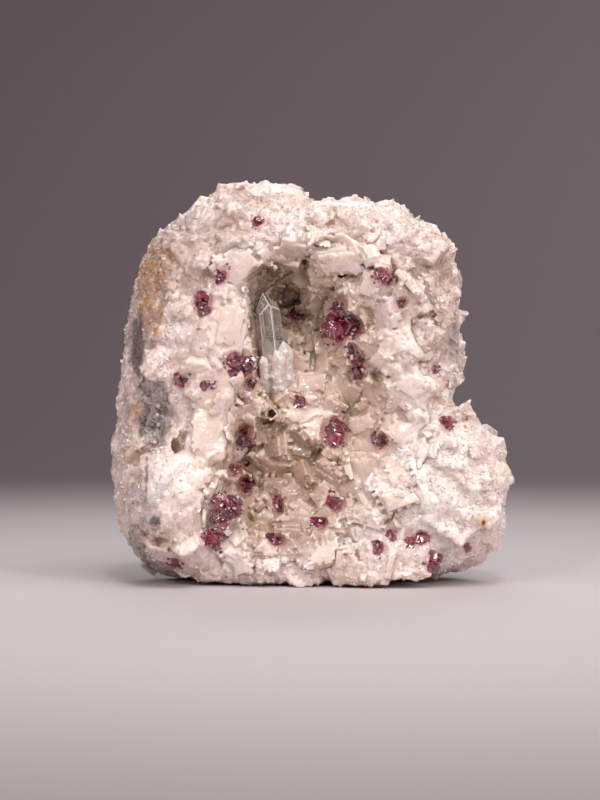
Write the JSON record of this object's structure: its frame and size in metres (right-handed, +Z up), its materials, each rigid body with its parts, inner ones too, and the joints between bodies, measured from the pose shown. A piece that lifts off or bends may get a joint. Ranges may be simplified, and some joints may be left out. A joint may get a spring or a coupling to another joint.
{
  "type": "cinnabar specimen",
  "caption": "Small upright lump of white dolomite rock with a crystal-lined hollow that holds a clear quartz point and dark red cinnabar crystals.",
  "frame": {"origin": "middle of the footprint, on the flat base that the lump stands on", "axes": "+Z up, the hollow faces -Y, +X to the right seen from the front"},
  "size_m": [0.0418, 0.0242, 0.0421],
  "materials": {
    "dolomite_rock": "rough white to cream crystalline rock with tan and grey-brown stains",
    "dolomite_crystal": "pearly translucent cream crystals with a soft gloss",
    "quartz": "clear, glassy, milky towards the foot",
    "cinnabar": "dark red with a bright glassy to silvery lustre"
  },
  "bodies": {
    "root": {"matrix": "dolomite_rock", "dolomite_crust": "dolomite_crystal", "quartz_crystal": "quartz", "cinnabar_top_edge": "cinnabar", "cinnabar_top_left_blade": "cinnabar", "cinnabar_upper_left": "cinnabar", "cinnabar_left_rim_outer": "cinnabar", "cinnabar_left_rim_inner": "cinnabar", "cinnabar_left_wall_cluster": "cinnabar", "cinnabar_left_wall_lower": "cinnabar", "cinnabar_quartz_foot": "cinnabar", "cinnabar_upper_recess": "cinnabar", "cinnabar_upper_cluster": "cinnabar", "cinnabar_chain": "cinnabar", "cinnabar_upper_right": "cinnabar", "cinnabar_upper_right_small": "cinnabar", "cinnabar_right_rim": "cinnabar", "cinnabar_centre_small": "cinnabar", "cinnabar_dark_dot": "cinnabar", "cinnabar_left_floor": "cinnabar", "cinnabar_left_floor_dark": "cinnabar", "cinnabar_lower_left_single": "cinnabar", "cinnabar_lower_left_cluster": "cinnabar", "cinnabar_lower_centre_left": "cinnabar", "cinnabar_lower_centre_base": "cinnabar", "cinnabar_bottom_left": "cinnabar", "cinnabar_centre": "cinnabar", "cinnabar_centre_right": "cinnabar", "cinnabar_right_shoulder": "cinnabar", "cinnabar_lower_centre": "cinnabar", "cinnabar_lower_centre_small": "cinnabar", "cinnabar_rib_upper": "cinnabar", "cinnabar_rib_lower": "cinnabar", "cinnabar_lower_right_upper": "cinnabar", "cinnabar_lower_right_middle": "cinnabar", "cinnabar_lower_right_base": "cinnabar", "cinnabar_lower_right_outer": "cinnabar"}
  },
  "joints": []
}
